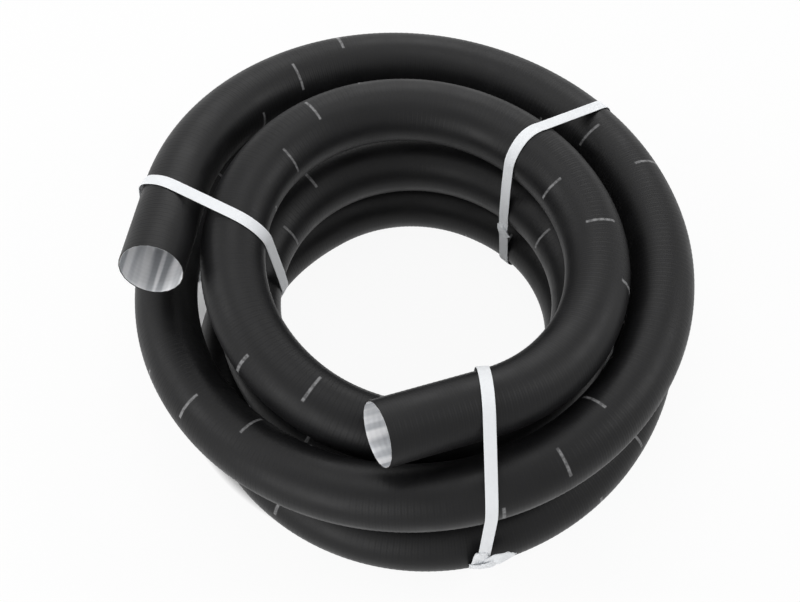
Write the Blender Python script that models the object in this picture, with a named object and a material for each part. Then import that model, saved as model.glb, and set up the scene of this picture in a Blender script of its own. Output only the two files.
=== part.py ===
"""Flexible air duct, one length of ribbed heater hose strapped up in a coil.

Units are metres and +Z is up. The coil lies flat, its origin on the floor under the middle of the
whole bounding box. The open inner end lies at the front (-Y), the open outer end at the left (-X).
The hose starts at the inner end on top, winds down the inner column, crosses outwards on the floor
behind the left side, winds up the outer column and ends at the left.
"""

import math

import bmesh
import bpy
import numpy as np
from mathutils import Matrix, Vector

# Hose section. Radii run to the corners of an eight-sided section.
CREST_RADIUS = 0.0320
ROOT_RADIUS = 0.0305
BORE_RADIUS = 0.0297
PLY_GAP = 0.00033
LINER_WALL = 0.0006
HOSE_BEVEL_RESOLUTION = 2
CUTTER_OVERRUN = 0.004

# Winding. Angles are degrees wound from the inner end of the curved stretch.
TOTAL_TURN = 1679.86
START_ANGLE = -67.53
POINTS_A_LOOP = 23
CHORDS = 107
CROSS_START = 910.1
CROSS_END = 1073.4
INNER_STRAIGHT = 0.1127
OUTER_STRAIGHT = 0.1102

# Inner column.
INNER_RADIUS = 0.1743
INNER_GROWTH = -0.00485
MIDDLE_TUCK = 0.0050
INNER_END_OUT = 0.00066
INNER_EASE = 97.2
INNER_DEPTH_RATIO = 1.0022
INNER_SKEW = -0.00154

# Outer column.
OUTER_RADIUS = 0.2510
OUTER_GROWTH = 0.00547
OUTER_DEPTH_RATIO = 1.0408
OUTER_SKEW = -0.0026
OUTER_SHIFT_X = -0.0039
OUTER_SHIFT_Y = 0.0211
OUTER_END_OUT = -0.0176
OUTER_EASE = 100.1

# Heights of the hose centre, and the tilt of the top turns (per side, in X and in Y).
FLOOR_HEIGHT = 0.0326
INNER_TOP_RISE = 0.1852
INNER_TILT_X = -0.03064
INNER_TILT_Y = -0.0031
INNER_END_RISE = -0.0061
INNER_LANDS = 847.6
OUTER_LEAVES = 1116.3
OUTER_TOP_RISE = 0.1608
OUTER_TILT_X = -0.0105
OUTER_TILT_Y = -0.0547
OUTER_END_DROP = -0.0075
RAMP_SOFTNESS = 0.006

# Straps, flat woven tape drawn round both columns, and their tied ends.
STRAP_WIDTH = 0.012
STRAP_THICKNESS = 0.0009
STRAP_GAP = 0.0003
STRAP_DIRECTIONS = 40
LEAN_HEIGHT = 0.1
STRAP_REACH = 0.13
KNOT_LENGTH = 0.015
KNOT_WIDTH = 0.017
KNOT_HEIGHT = 0.0050
TAIL_WIDTH = 0.0125
TAIL_THICKNESS = 0.0011
KNOT_BEND = 0.080
KNOT_SEAT = 0.0009
TAPE_FLOOR = 0.0003

# Name, a point of the strap's line on the floor plan, its heading in degrees, its sideways lean per
# metre of height, where its knot sits (outer or inner side, and height) and the length of its tails.
STRAPS = (
    ("left", (-0.1974, 0.0520), 152.1, 0.093, "outer", 0.040, 0.026),
    ("back_right", (0.1390, 0.1492), 46.7, 0.0, "inner", 0.085, 0.019),
    ("front", (0.0658, -0.2215), -85.3, 0.033, "outer", 0.0495, 0.028),
)

BLACK_PLASTIC = ((0.036, 0.037, 0.039), 0.48, 0.0)
ALUMINIUM_FOIL = ((0.80, 0.81, 0.83), 0.30, 1.0)
WHITE_TAPE = ((0.86, 0.88, 0.91), 0.62, 0.0)


def eased(x):
    """Smooth step from 0 to 1."""
    x = min(max(x, 0.0), 1.0)
    return x * x * (3.0 - 2.0 * x)


def ramp(x):
    """x where it is positive and 0 where it is negative, with a rounded corner between."""
    return 0.5 * (x + math.hypot(x, RAMP_SOFTNESS))


def coil_point(wound):
    """Centre of the hose once it has wound this many degrees, counter-clockwise seen from above."""
    angle = math.radians(START_ANGLE + wound)
    across = eased((wound - CROSS_START) / (CROSS_END - CROSS_START))
    opening = min(max(1.0 - wound / INNER_EASE, 0.0), 1.0) ** 2
    closing = min(max(1.0 - (TOTAL_TURN - wound) / OUTER_EASE, 0.0), 1.0) ** 2
    tuck = math.sin(math.pi * min(max((wound - 190.0) / 720.0, 0.0), 1.0)) ** 2
    skew = math.sin(2.0 * angle)
    inner = INNER_RADIUS + INNER_GROWTH * (wound / 360.0 - 1.25) - MIDDLE_TUCK * tuck + INNER_SKEW * skew
    outer = OUTER_RADIUS + OUTER_GROWTH * (wound - 1440.0) / 360.0 + OUTER_SKEW * skew
    ends = INNER_END_OUT * opening + OUTER_END_OUT * closing
    radius_x = inner * (1.0 - across) + outer * across + ends
    radius_y = inner * INNER_DEPTH_RATIO * (1.0 - across) + outer * OUTER_DEPTH_RATIO * across + ends
    x = OUTER_SHIFT_X * across + radius_x * math.cos(angle)
    y = OUTER_SHIFT_Y * across + radius_y * math.sin(angle)
    falling = ramp(1.0 - wound / INNER_LANDS)
    rising = ramp((wound - OUTER_LEAVES) / (TOTAL_TURN - OUTER_LEAVES))
    z = FLOOR_HEIGHT + OUTER_END_DROP * closing + INNER_END_RISE * opening
    z += falling * (INNER_TOP_RISE + INNER_TILT_X * math.cos(angle) + INNER_TILT_Y * math.sin(angle))
    z += rising * (OUTER_TOP_RISE + OUTER_TILT_X * math.cos(angle) + OUTER_TILT_Y * math.sin(angle))
    return Vector((x, y, z))


def crest_points():
    """Centres of the rib crests: the straight inner end, the coil and the straight outer end."""
    step = 360.0 / POINTS_A_LOOP
    coil = [coil_point(step * i) for i in range(CHORDS + 1)]
    start = (coil[0] - coil_point(0.5)).normalized()
    finish = (coil[-1] - coil_point(step * CHORDS - 0.5)).normalized()
    inner_end = [coil[0] + start * INNER_STRAIGHT * k for k in (1.0, 0.5)]
    return inner_end + coil + [coil[-1] + finish * OUTER_STRAIGHT]


def ribbed(points):
    """Each crest with the root halfway along the chord to the next crest, and their radii."""
    places = []
    for here, after in zip(points, points[1:]):
        places += [(here, CREST_RADIUS), ((here + after) / 2.0, ROOT_RADIUS)]
    return places + [(points[-1], CREST_RADIUS)]


def stretched(points, extra):
    """The same route with both ends carried on by this much."""
    first = points[0] + (points[0] - points[1]).normalized() * extra
    last = points[-1] + (points[-1] - points[-2]).normalized() * extra
    return [first] + points[1:-1] + [last]


def paint(obj, name, look):
    """Give the object its own material: colour, roughness and metallic value."""
    colour, roughness, metallic = look
    material = bpy.data.materials.new(name)
    material.use_nodes = True
    shader = material.node_tree.nodes["Principled BSDF"]
    shader.inputs["Base Color"].default_value = (*colour, 1.0)
    shader.inputs["Roughness"].default_value = roughness
    shader.inputs["Metallic"].default_value = metallic
    material.diffuse_color = (*colour, 1.0)
    obj.data.materials.clear()
    obj.data.materials.append(material)


def shade(mesh, angle=40.0):
    """Smooth shading, with edges over this angle left sharp."""
    mesh.shade_smooth()
    mesh.set_sharp_from_angle(angle=math.radians(angle))


def add_object(name, mesh):
    obj = bpy.data.objects.new(name, mesh)
    bpy.context.collection.objects.link(obj)
    return obj


def swept_tube(name, places):
    """A capped tube through (centre, corner radius) places, as a mesh object."""
    curve = bpy.data.curves.new(name + "_route", "CURVE")
    curve.dimensions = "3D"
    curve.twist_mode = "Z_UP"
    curve.bevel_depth = 1.0
    curve.bevel_resolution = HOSE_BEVEL_RESOLUTION
    curve.use_fill_caps = True
    spline = curve.splines.new("POLY")
    spline.points.add(len(places) - 1)
    for point, (centre, radius) in zip(spline.points, places):
        point.co = (*centre, 1.0)
        point.radius = radius
    guide = add_object(name + "_guide", curve)
    graph = bpy.context.evaluated_depsgraph_get()
    mesh = bpy.data.meshes.new_from_object(guide.evaluated_get(graph))
    mesh.name = name
    bpy.data.objects.remove(guide)
    work = bmesh.new()
    work.from_mesh(mesh)
    bmesh.ops.remove_doubles(work, verts=work.verts, dist=1e-6)
    bmesh.ops.triangulate(work, faces=work.faces, quad_method="FIXED")
    bmesh.ops.recalc_face_normals(work, faces=work.faces)
    work.to_mesh(mesh)
    work.free()
    return add_object(name, mesh)


def helper(obj):
    """Keep a cutter or a joined part out of the model."""
    obj.hide_render = True
    obj.display_type = "WIRE"
    return obj


def combine(obj, other, operation):
    modifier = obj.modifiers.new(operation.title(), "BOOLEAN")
    modifier.operation = operation
    modifier.solver = "EXACT"
    modifier.object = helper(other)


def ply(name, places, bore_radius, points, look):
    """One ply of the hose wall: a swept tube with its bore cut through from end to end."""
    obj = swept_tube(name, places)
    route = stretched(points, CUTTER_OVERRUN)
    combine(obj, swept_tube(name + "_bore", [(p, bore_radius) for p in route]), "DIFFERENCE")
    paint(obj, name, look)
    shade(obj.data, 50.0)
    return obj


def dense(points, step=0.004):
    """Points spaced a few millimetres apart along the chords."""
    found = []
    for here, after in zip(points, points[1:]):
        count = max(1, math.ceil((after - here).length / step))
        found += [here.lerp(after, k / count) for k in range(count)]
    return np.array([tuple(p) for p in found + [points[-1]]])


def least_gap(points):
    """Least distance between the hose's surface and itself, past a neighbourhood of three radii."""
    places = dense(points, 0.003)
    steps = np.linalg.norm(np.diff(places, axis=0), axis=1)
    along = np.concatenate([[0.0], np.cumsum(steps)])
    least = math.inf
    for i in range(len(places)):
        far = places[along > along[i] + 6.0 * CREST_RADIUS]
        if len(far):
            least = min(least, float(np.linalg.norm(far - places[i], axis=1).min()))
    return least - 2.0 * CREST_RADIUS


def strap_plan(heading):
    """Unit vectors along the strap's line on the floor and across the tape."""
    angle = math.radians(heading)
    return Vector((math.cos(angle), math.sin(angle), 0.0)), Vector((-math.sin(angle), math.cos(angle), 0.0))


def strap_outline(places, base, heading, lean):
    """Corners, along the heading and in height, of the taut outline round every turn that it binds.

    The hose is a row of balls of its own radius, each cut by the tape's width. For each direction,
    the outermost ball sets a line, given as (cosine, sine, distance) in along and height. The lower
    half hangs down to the floor by what little slack is needed, so that all straps lie level.
    """
    ahead, sideways = (np.array(v) for v in strap_plan(heading))
    offset = places - np.array((*base, 0.0))
    along = offset @ ahead
    height = offset[:, 2]
    aside = offset @ sideways - lean * (height - LEAN_HEIGHT)
    outside = np.clip(np.abs(aside) - STRAP_WIDTH / 2.0, 0.0, None)
    near = (outside < CREST_RADIUS * 0.999) & (np.abs(along) < STRAP_REACH)
    slope = 1.0 + lean * lean
    height = (height + np.sign(aside) * outside * lean / slope)[near]
    along = along[near]
    reach = np.sqrt(CREST_RADIUS**2 - outside[near] ** 2 / slope)
    lines = []
    for k in range(STRAP_DIRECTIONS):
        angle = 2.0 * math.pi * k / STRAP_DIRECTIONS - math.pi / 2.0
        c, s = math.cos(angle), math.sin(angle)
        swell = math.sqrt(c * c + s * s / slope)
        lines.append((c, s, float((along * c + height * s + reach * swell).max()) + STRAP_GAP))
    slack = max(0.0, -lines[0][2] - TAPE_FLOOR)
    return [(c, s, h + slack * max(0.0, -s)) for c, s, h in lines]


def outline_corners(lines, extra):
    """Where each support line, moved outwards by extra, meets the next one."""
    corners = []
    for (c1, s1, h1), (c2, s2, h2) in zip(lines, lines[1:] + lines[:1]):
        det = c1 * s2 - s1 * c2
        h1, h2 = h1 + extra, h2 + extra
        corners.append(((h1 * s2 - h2 * s1) / det, (h2 * c1 - h1 * c2) / det))
    return corners


def strap_place(base, heading, lean, along, height, across):
    ahead, sideways = strap_plan(heading)
    flat = Vector((*base, 0.0)) + ahead * along + sideways * (across + lean * (height - LEAN_HEIGHT))
    return Vector((flat.x, flat.y, height))


def strap(name, places, base, heading, lean):
    """A closed flat band: the taut outline, with the tape's thickness and width."""
    lines = strap_outline(places, base, heading, lean)
    inner = outline_corners(lines, 0.0)
    outer = outline_corners(lines, STRAP_THICKNESS)
    work = bmesh.new()
    rings = []
    for corners, across in ((inner, -0.5), (outer, -0.5), (outer, 0.5), (inner, 0.5)):
        side = across * STRAP_WIDTH
        rings.append([work.verts.new(strap_place(base, heading, lean, u, z, side)) for u, z in corners])
    count = len(inner)
    for here, after in zip(rings, rings[1:] + rings[:1]):
        for k in range(count):
            j = (k + 1) % count
            work.faces.new((here[k], here[j], after[j], after[k]))
    bmesh.ops.recalc_face_normals(work, faces=work.faces)
    mesh = bpy.data.meshes.new(name)
    work.to_mesh(mesh)
    work.free()
    obj = add_object(name, mesh)
    paint(obj, name, WHITE_TAPE)
    shade(mesh)
    return obj, lines


def slab(name, outline, low, high, place):
    """A flat shape in (along, across) between two heights, bent onto the hose by place."""
    work = bmesh.new()
    layers = []
    for height in (low, high):
        layers.append([[work.verts.new(place(a, b, height)) for a, b in row] for row in outline])
    for k in (0, 1):
        rows = layers[k]
        for i in range(len(rows) - 1):
            for j in range(len(rows[0]) - 1):
                work.faces.new((rows[i][j], rows[i + 1][j], rows[i + 1][j + 1], rows[i][j + 1]))
    bottom, top = layers
    rows, columns = len(bottom), len(bottom[0])
    rim = [(i, 0) for i in range(rows)] + [(rows - 1, j) for j in range(1, columns)]
    rim += [(i, columns - 1) for i in range(rows - 2, -1, -1)] + [(0, j) for j in range(columns - 2, 0, -1)]
    for (i, j), (m, n) in zip(rim, rim[1:] + rim[:1]):
        work.faces.new((bottom[i][j], bottom[m][n], top[m][n], top[i][j]))
    bmesh.ops.recalc_face_normals(work, faces=work.faces)
    mesh = bpy.data.meshes.new(name)
    work.to_mesh(mesh)
    work.free()
    return add_object(name, mesh)


def tail_rows(angle, start, length, taper):
    """Grid of a tape tail that leaves the knot at this angle, cut off aslant at its end."""
    c, s = math.cos(math.radians(angle)), math.sin(math.radians(angle))
    rows = []
    for i in range(6):
        run = start + (length - start) * i / 5.0
        row = []
        for j in range(3):
            side = (j - 1) / 2.0 * TAIL_WIDTH * (0.82 + 0.18 * i / 5.0)
            ahead = run + taper * side * i / 5.0
            row.append((ahead * c - side * s, ahead * s + side * c))
        rows.append(row)
    return rows


def lump_rows(length, width):
    """Grid of the knot's own rounded body."""
    rows = []
    for i in range(7):
        u = -1.0 + 2.0 * i / 6.0
        half = width / 2.0 * math.sqrt(1.0 - 0.55 * u * u)
        rows.append([(u * length / 2.0, half * v) for v in (-1.0, -0.5, 0.0, 0.5, 1.0)])
    return rows


def knot(name, lines, base, heading, lean, side, height, tail):
    """The strap's tied ends: a flattened knot with two short tails, bent to the hose's roundness."""
    corners = outline_corners(lines, STRAP_THICKNESS)
    outer = side == "outer"
    crossing = None
    for (u1, z1), (u2, z2) in zip(corners, corners[1:] + corners[:1]):
        if (z1 - height) * (z2 - height) <= 0.0 and z1 != z2:
            u = u1 + (u2 - u1) * (height - z1) / (z2 - z1)
            if crossing is None or (u > crossing[0]) == outer:
                crossing = (u, Vector((u2 - u1, z2 - z1)).normalized())
    u, along = crossing
    if along.y > 0.0:
        along = -along
    ahead, sideways = strap_plan(heading)
    tangent = ahead * along.x + Vector((0.0, 0.0, along.y))
    normal = (ahead if outer else -ahead) - tangent * tangent.dot(ahead if outer else -ahead)
    normal.normalize()
    across = tangent.cross(normal)
    origin = strap_place(base, heading, lean, u, height, 0.0) + normal * KNOT_SEAT

    def place(a, b, h):
        turn = a / KNOT_BEND
        return (
            origin
            + tangent * ((KNOT_BEND + h) * math.sin(turn))
            + normal * ((KNOT_BEND + h) * math.cos(turn) - KNOT_BEND)
            + across * b
        )

    body = slab(name, lump_rows(KNOT_LENGTH, KNOT_WIDTH), 0.0, KNOT_HEIGHT, place)
    bevel = body.modifiers.new("Round", "BEVEL")
    bevel.width = 0.0012
    bevel.segments = 2
    bevel.limit_method = "ANGLE"
    bevel.angle_limit = math.radians(50.0)
    low = 0.0018
    first = slab(name + "_tail_a", tail_rows(-128.0, 0.002, tail, 0.5), low, low + TAIL_THICKNESS, place)
    second = slab(name + "_tail_b", tail_rows(38.0, 0.002, tail, -0.4), low + 0.0004, low + 0.0015, place)
    combine(body, first, "UNION")
    combine(body, second, "UNION")
    paint(body, name, WHITE_TAPE)
    shade(body.data)
    return body


def stand_on_origin(objects):
    """Move everything so that the origin is the middle of the bounding box's underside."""
    graph = bpy.context.evaluated_depsgraph_get()
    low, high = Vector((math.inf,) * 3), Vector((-math.inf,) * 3)
    for obj in objects:
        for corner in obj.evaluated_get(graph).to_mesh().vertices:
            low = Vector(map(min, low, corner.co))
            high = Vector(map(max, high, corner.co))
    shift = Vector((-(low.x + high.x) / 2.0, -(low.y + high.y) / 2.0, -low.z))
    for obj in bpy.data.objects:
        obj.data.transform(Matrix.Translation(shift))
    print(f"moved by {shift.x * 1000:.3f} {shift.y * 1000:.3f} {shift.z * 1000:.3f} mm")
    print(f"size {(high - low).x * 1000:.2f} {(high - low).y * 1000:.2f} {(high - low).z * 1000:.2f} mm")


def main():
    for obj in list(bpy.data.objects):
        bpy.data.objects.remove(obj)
    points = crest_points()
    length = sum((b - a).length for a, b in zip(points, points[1:]))
    print(f"hose centreline {length:.3f} m, {len(points)} crests")
    print(f"least gap of the hose to itself {least_gap(points) * 1000:.2f} mm")
    pieces = [ply("duct_jacket", ribbed(points), BORE_RADIUS, points, BLACK_PLASTIC)]
    liner_radius = BORE_RADIUS - PLY_GAP
    plain = [(p, liner_radius) for p in points]
    pieces.append(ply("duct_liner", plain, liner_radius - LINER_WALL, points, ALUMINIUM_FOIL))
    places = dense(points)
    for name, base, heading, lean, side, height, tail in STRAPS:
        band, lines = strap(f"strap_{name}", places, base, heading, lean)
        pieces.append(band)
        pieces.append(knot(f"strap_{name}_knot", lines, base, heading, lean, side, height, tail))
    stand_on_origin(pieces)


main()
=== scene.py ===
"""Flexible air duct: one length of ribbed heater hose, strapped up in a coil.

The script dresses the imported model. Lengths are metres in the model's own frame: +Z is up, -Y is the
front, and the origin lies on the floor under the middle of the coil. Surfaces are numpy grids, and a
length of hose is described by s, the metres run from its inner end, and turn, the place round the
hose as a share of a full turn, counted from the top towards the outside of the coil.
"""

import math

import bpy
import numpy as np
from mathutils import Matrix, Vector


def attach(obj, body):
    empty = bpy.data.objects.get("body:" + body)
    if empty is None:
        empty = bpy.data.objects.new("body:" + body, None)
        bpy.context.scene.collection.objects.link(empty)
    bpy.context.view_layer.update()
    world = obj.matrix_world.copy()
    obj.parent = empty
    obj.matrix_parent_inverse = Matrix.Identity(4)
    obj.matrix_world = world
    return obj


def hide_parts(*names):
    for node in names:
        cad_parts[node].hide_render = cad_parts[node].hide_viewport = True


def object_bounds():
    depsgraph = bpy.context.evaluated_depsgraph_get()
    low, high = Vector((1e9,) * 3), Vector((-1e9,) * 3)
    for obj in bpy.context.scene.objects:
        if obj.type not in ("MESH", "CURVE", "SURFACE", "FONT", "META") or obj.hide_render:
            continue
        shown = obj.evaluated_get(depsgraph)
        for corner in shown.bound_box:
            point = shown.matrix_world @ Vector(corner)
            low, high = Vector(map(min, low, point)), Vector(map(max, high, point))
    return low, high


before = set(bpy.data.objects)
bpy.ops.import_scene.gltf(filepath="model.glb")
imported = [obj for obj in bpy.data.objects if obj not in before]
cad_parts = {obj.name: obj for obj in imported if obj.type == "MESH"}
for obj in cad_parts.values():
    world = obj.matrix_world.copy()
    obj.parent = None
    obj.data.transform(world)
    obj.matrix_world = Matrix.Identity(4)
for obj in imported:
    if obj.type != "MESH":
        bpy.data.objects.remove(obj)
CAD_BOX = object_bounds()

bl_info = {
    "name": "Flexible Air Duct",
    "version": (1, 0, 0),
    "blender": (4, 5, 0),
    "location": "3D Viewport > Sidebar > Air Duct",
    "description": "Builds a strapped coil of ribbed flexible air duct, piece by piece",
    "category": "Object",
}

# Winding of the coil, in degrees wound from the inner end of its curved stretch. The solids' hose has
# 23 points a turn, and its curved stretch ends at the 107th.
TOTAL_TURN = 1679.86
START_ANGLE = -67.53
POINTS_A_TURN = 23.0
CURVED_POINTS = 107.0
CURVED_END = CURVED_POINTS * 360.0 / POINTS_A_TURN
CROSS_START = 910.1
CROSS_END = 1073.4
INNER_STRAIGHT = 0.1127
OUTER_STRAIGHT = 0.1102
ROUTE_POINTS = 12000
STRAIGHT_POINTS = 200
DIRECTION_STEP = 0.5

# Inner column, then outer column, as seen from above. Each has its named radius where this much is
# wound: the inner in turns and the outer in degrees.
INNER_RADIUS = 0.1743
INNER_RADIUS_TURNS = 1.25
INNER_GROWTH = -0.00485
MIDDLE_TUCK = 0.0050
TUCK_START = 190.0
TUCK_RUN = 720.0
INNER_END_OUT = 0.00066
INNER_EASE = 97.2
INNER_DEPTH_RATIO = 1.0022
INNER_SKEW = -0.00154
OUTER_RADIUS = 0.2510
OUTER_RADIUS_WOUND = 1440.0
OUTER_GROWTH = 0.00547
OUTER_DEPTH_RATIO = 1.0408
OUTER_SKEW = -0.0026
OUTER_SHIFT_X = -0.0039
OUTER_SHIFT_Y = 0.0211
OUTER_END_OUT = -0.0176
OUTER_EASE = 100.1

# Heights of the hose centre and tilts of the top turns.
FLOOR_HEIGHT = 0.0326
INNER_TOP_RISE = 0.1852
INNER_TILT_X = -0.03064
INNER_TILT_Y = -0.0031
INNER_END_RISE = -0.0061
INNER_LANDS = 847.6
OUTER_LEAVES = 1116.3
OUTER_TOP_RISE = 0.1608
OUTER_TILT_X = -0.0105
OUTER_TILT_Y = -0.0547
OUTER_END_DROP = -0.0075
RAMP_SOFTNESS = 0.006
COIL_SHIFT = np.array([0.002547, -0.022827, 0.000600])

# Hose wall, from the outside inwards: jacket, paper ply, foil. The plies' faces are given by their
# depths under the jacket's inner face.
CREST_RADIUS = 0.0320
PAPER_OUTSIDE = 0.00008
PAPER_INSIDE = 0.00038
PAPER_SETBACK = 0.0009
FOIL_OUTSIDE = 0.00046
FOIL_INSIDE = 0.00062
HOSE_SIDES = 24
RINGS_PER_RIB = 3
RINGS_PER_BORE_RIB = 4
BORE_RIB_DEPTH = 0.00014
BORE_RIB_MARGIN = 0.004
PLY_STEP = 0.018
FINE_STEP = 0.006
FINE_RUN = 0.16

# Meshes: the angle in degrees from which an edge is sharp, and the name of their UVs.
SHARP_ANGLE = 40.0
TAPE_SHARP_ANGLE = 50.0
UV_NAME = "along_and_round"

# Strap tape. A leaning tape is right over its base at LEAN_HEIGHT. The drift starts at DRIFT_FROM along
# the tape's line from its base and grows inwards over DRIFT_RUN. It changes sides at DRIFT_HEIGHT, and is
# full DRIFT_REACH above and below that.
STRAP_DIRECTIONS = 160
STRAP_SAMPLE = 0.003
BALL_SHARE = 0.999
STRAP_GAP = 0.0002
STRAP_REACH = 0.13
LEAN_HEIGHT = 0.1
TAPE_FLOOR = 0.0003
DRIFT_FROM = 0.02
DRIFT_RUN = 0.06
DRIFT_HEIGHT = 0.13
DRIFT_REACH = 0.08
TAPE_SIDE_POWER = 0.35
TAPE_FACE_POWER = 0.5

# Pucker of a knot's tape, in radians from the tape's middle to its edge (across) and from one corner of
# its path to the next (along): a slow swell, and creases of half its height.
PUCKER_ACROSS = 3.1
PUCKER_ALONG = 1.98
SWELL_ALONG = 1.7
SWELL_SEED = 1.3
CREASE_ACROSS = 7.3
CREASE_ALONG = 1.9
CREASE_SEED = 2.0
CREASE_SHARE = 0.5
SMOOTHING_PASSES = 3

# Printed bars: one helix of short bars, counted back from the one nearest to the outer end. Near the
# inner end they stray from it along the hose: by BAR_STRAY one way before BAR_SQUEEZE and the other way
# after it, and they are back on the helix after BAR_SETTLE.
BAR_PITCH = 0.06205
BAR_TURN = 60.5 / 360.0
LAST_BAR_S = 5.922
LAST_BAR_TURN = -33.3 / 360.0
BAR_STRAY = 0.020
BAR_SQUEEZE = (0.55, 0.95)
BAR_SETTLE = (1.08, 1.28)
BAR_SIDE_BLUR = 0.0006
BAR_END_BLUR = 0.004
BARE_INNER_RUN = 0.25
BARE_OUTER_RUN = 0.10

# Surfaces. A noise scale is in waves a metre, and a pair is a value's two limits.
JACKET_ROUGHNESS = 0.44
JACKET_GLOSS = (0.40, 0.52)
JACKET_SPECULAR = 0.22
HANDLING_SCALE = 28.0
HANDLING_LIMITS = (0.3, 0.7)
INK_GRAIN_SCALE = 260.0
INK_GRAIN_LIMITS = (0.36, 0.58)
INK_COVER = (0.4, 0.95)
CRIMP_PATCH_LIMITS = (0.35, 0.65)
CRIMP_STRENGTH = (0.2, 1.0)
FILM_GRAIN_SCALE = 420.0
FILM_GRAIN_SHARE = 0.35
FOIL_ROUGHNESS = 0.6
FOIL_GLOSS = (0.66, 0.50)
FOIL_STRETCH = 0.65
# Streaks of painted shade in the foil's colour, where it is also rougher: their waves along and round the
# bore, and their limits.
STREAKS_ALONG = 4.0
STREAKS_ROUND = 10.0
STREAK_LIMITS = (0.44, 0.56)
PAPER_ROUGHNESS = 0.9
PAPER_FIBRE_SCALE = 700.0
TAPE_ROUGHNESS = 0.52
TAPE_SHEEN = 0.15

# Stage. The camera sees the floor as mostly plain white, but not in a ring under the turns. The white
# fades out over RING_INSIDE, which is the distance from the inner turns' middle, and comes back over
# RING_OUTSIDE, the distance from the outer turns' middle.
FLOOR_HALF = 6.0
FLOOR_LINES = 9
FLOOR_GAP = 0.0002
FLOOR_COLOUR = "#f2f2f2"
FLOOR_WHITE_SHARE = 0.93
RING_INSIDE = (0.160, 0.168)
RING_OUTSIDE = (0.252, 0.260)
WORLD_LIGHT = 0.35
WORLD_SEEN = 1.0

# Softboxes: name, place, the point that they face, size in metres and power in watts.
SOFTBOXES = (
    ("overhead", (-0.3, 0.5, 2.4), (0.0, 0.0, 0.1), (1.6, 1.2), 12.0),
    ("back", (0.3, 2.3, 1.5), (0.0, 0.0, 0.1), (2.0, 1.2), 19.0),
    ("left", (-2.2, 0.3, 1.5), (0.0, 0.0, 0.1), (1.2, 1.2), 14.0),
    ("right", (2.3, 0.2, 1.6), (0.0, 0.0, 0.1), (1.2, 1.2), 19.0),
    ("front", (-1.4, -2.0, 0.9), (-0.1, -0.1, 0.2), (2.0, 1.3), 27.0),
)

# Picture: the camera's place and aim, and the lens as focal length over the picture's width.
PICTURE_WIDTH = 800.0
PICTURE_HEIGHT = 602.0
LENS_PIXELS = 1787.57
SENSOR_WIDTH = 36.0
CAMERA_TILT = 60.0
CAMERA_DISTANCE = 1.82
AIM_HEIGHT = 0.0975
AIM_PIXEL = (413.797, 301.186)


def linear(code):
    """Linear light values of an sRGB hex colour."""
    values = [int(code[i:i + 2], 16) / 255.0 for i in (1, 3, 5)]
    return tuple(v / 12.92 if v <= 0.04045 else ((v + 0.055) / 1.055) ** 2.4 for v in values)


# ---------------------------------------------------------------- route of the hose


def eased(x):
    """Smooth step from 0 to 1."""
    x = np.clip(x, 0.0, 1.0)
    return x * x * (3.0 - 2.0 * x)


def ramp(x):
    """x where it is positive and 0 where it is negative, with a rounded corner between."""
    return 0.5 * (x + np.hypot(x, RAMP_SOFTNESS))


def coil_centre(wound):
    """Hose centre at each of these degrees wound, counter-clockwise seen from above.

    In plan it is an ellipse whose half axes change from the inner column's to the outer column's on
    the floor. Its height falls along a ramp, stays on the floor while the hose crosses outwards, and
    rises along a second ramp. Each ramp leans with the cosine and sine of the angle.
    """
    angle = np.radians(START_ANGLE + wound)
    across = eased((wound - CROSS_START) / (CROSS_END - CROSS_START))
    opening = np.clip(1.0 - wound / INNER_EASE, 0.0, 1.0) ** 2
    closing = np.clip(1.0 - (TOTAL_TURN - wound) / OUTER_EASE, 0.0, 1.0) ** 2
    tuck = np.sin(np.pi * np.clip((wound - TUCK_START) / TUCK_RUN, 0.0, 1.0)) ** 2
    skew = np.sin(2.0 * angle)
    inner = INNER_RADIUS + INNER_GROWTH * (wound / 360.0 - INNER_RADIUS_TURNS)
    inner = inner - MIDDLE_TUCK * tuck + INNER_SKEW * skew
    outer = OUTER_RADIUS + OUTER_GROWTH * (wound - OUTER_RADIUS_WOUND) / 360.0 + OUTER_SKEW * skew
    ends = INNER_END_OUT * opening + OUTER_END_OUT * closing
    radius_x = inner * (1.0 - across) + outer * across + ends
    radius_y = inner * INNER_DEPTH_RATIO * (1.0 - across) + outer * OUTER_DEPTH_RATIO * across + ends
    x = OUTER_SHIFT_X * across + radius_x * np.cos(angle)
    y = OUTER_SHIFT_Y * across + radius_y * np.sin(angle)
    falling = ramp(1.0 - wound / INNER_LANDS)
    rising = ramp((wound - OUTER_LEAVES) / (TOTAL_TURN - OUTER_LEAVES))
    z = FLOOR_HEIGHT + OUTER_END_DROP * closing + INNER_END_RISE * opening
    z = z + falling * (INNER_TOP_RISE + INNER_TILT_X * np.cos(angle) + INNER_TILT_Y * np.sin(angle))
    z = z + rising * (OUTER_TOP_RISE + OUTER_TILT_X * np.cos(angle) + OUTER_TILT_Y * np.sin(angle))
    return np.stack([x, y, z], axis=-1) + COIL_SHIFT


def unit(vectors):
    """Vectors of the same directions and of length 1."""
    return vectors / np.linalg.norm(vectors, axis=-1, keepdims=True)


def hose_route():
    """Closely spaced centres of the hose, and the metres run at each: two straight ends and the coil."""
    coil = coil_centre(np.linspace(0.0, CURVED_END, ROUTE_POINTS))
    start = unit(coil[0] - coil_centre(np.array(DIRECTION_STEP)))
    finish = unit(coil[-1] - coil_centre(np.array(CURVED_END - DIRECTION_STEP)))
    share = np.linspace(1.0, 0.0, STRAIGHT_POINTS)[:-1, None]
    route = np.concatenate([
        coil[0] + start * INNER_STRAIGHT * share,
        coil,
        coil[-1] + finish * OUTER_STRAIGHT * share[::-1],
    ])
    run = np.concatenate([[0.0], np.cumsum(np.linalg.norm(np.diff(route, axis=0), axis=1))])
    return route, run


ROUTE, RUN = hose_route()
HOSE_LENGTH = float(RUN[-1])
TANGENT = unit(np.gradient(ROUTE, RUN, axis=0))


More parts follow.
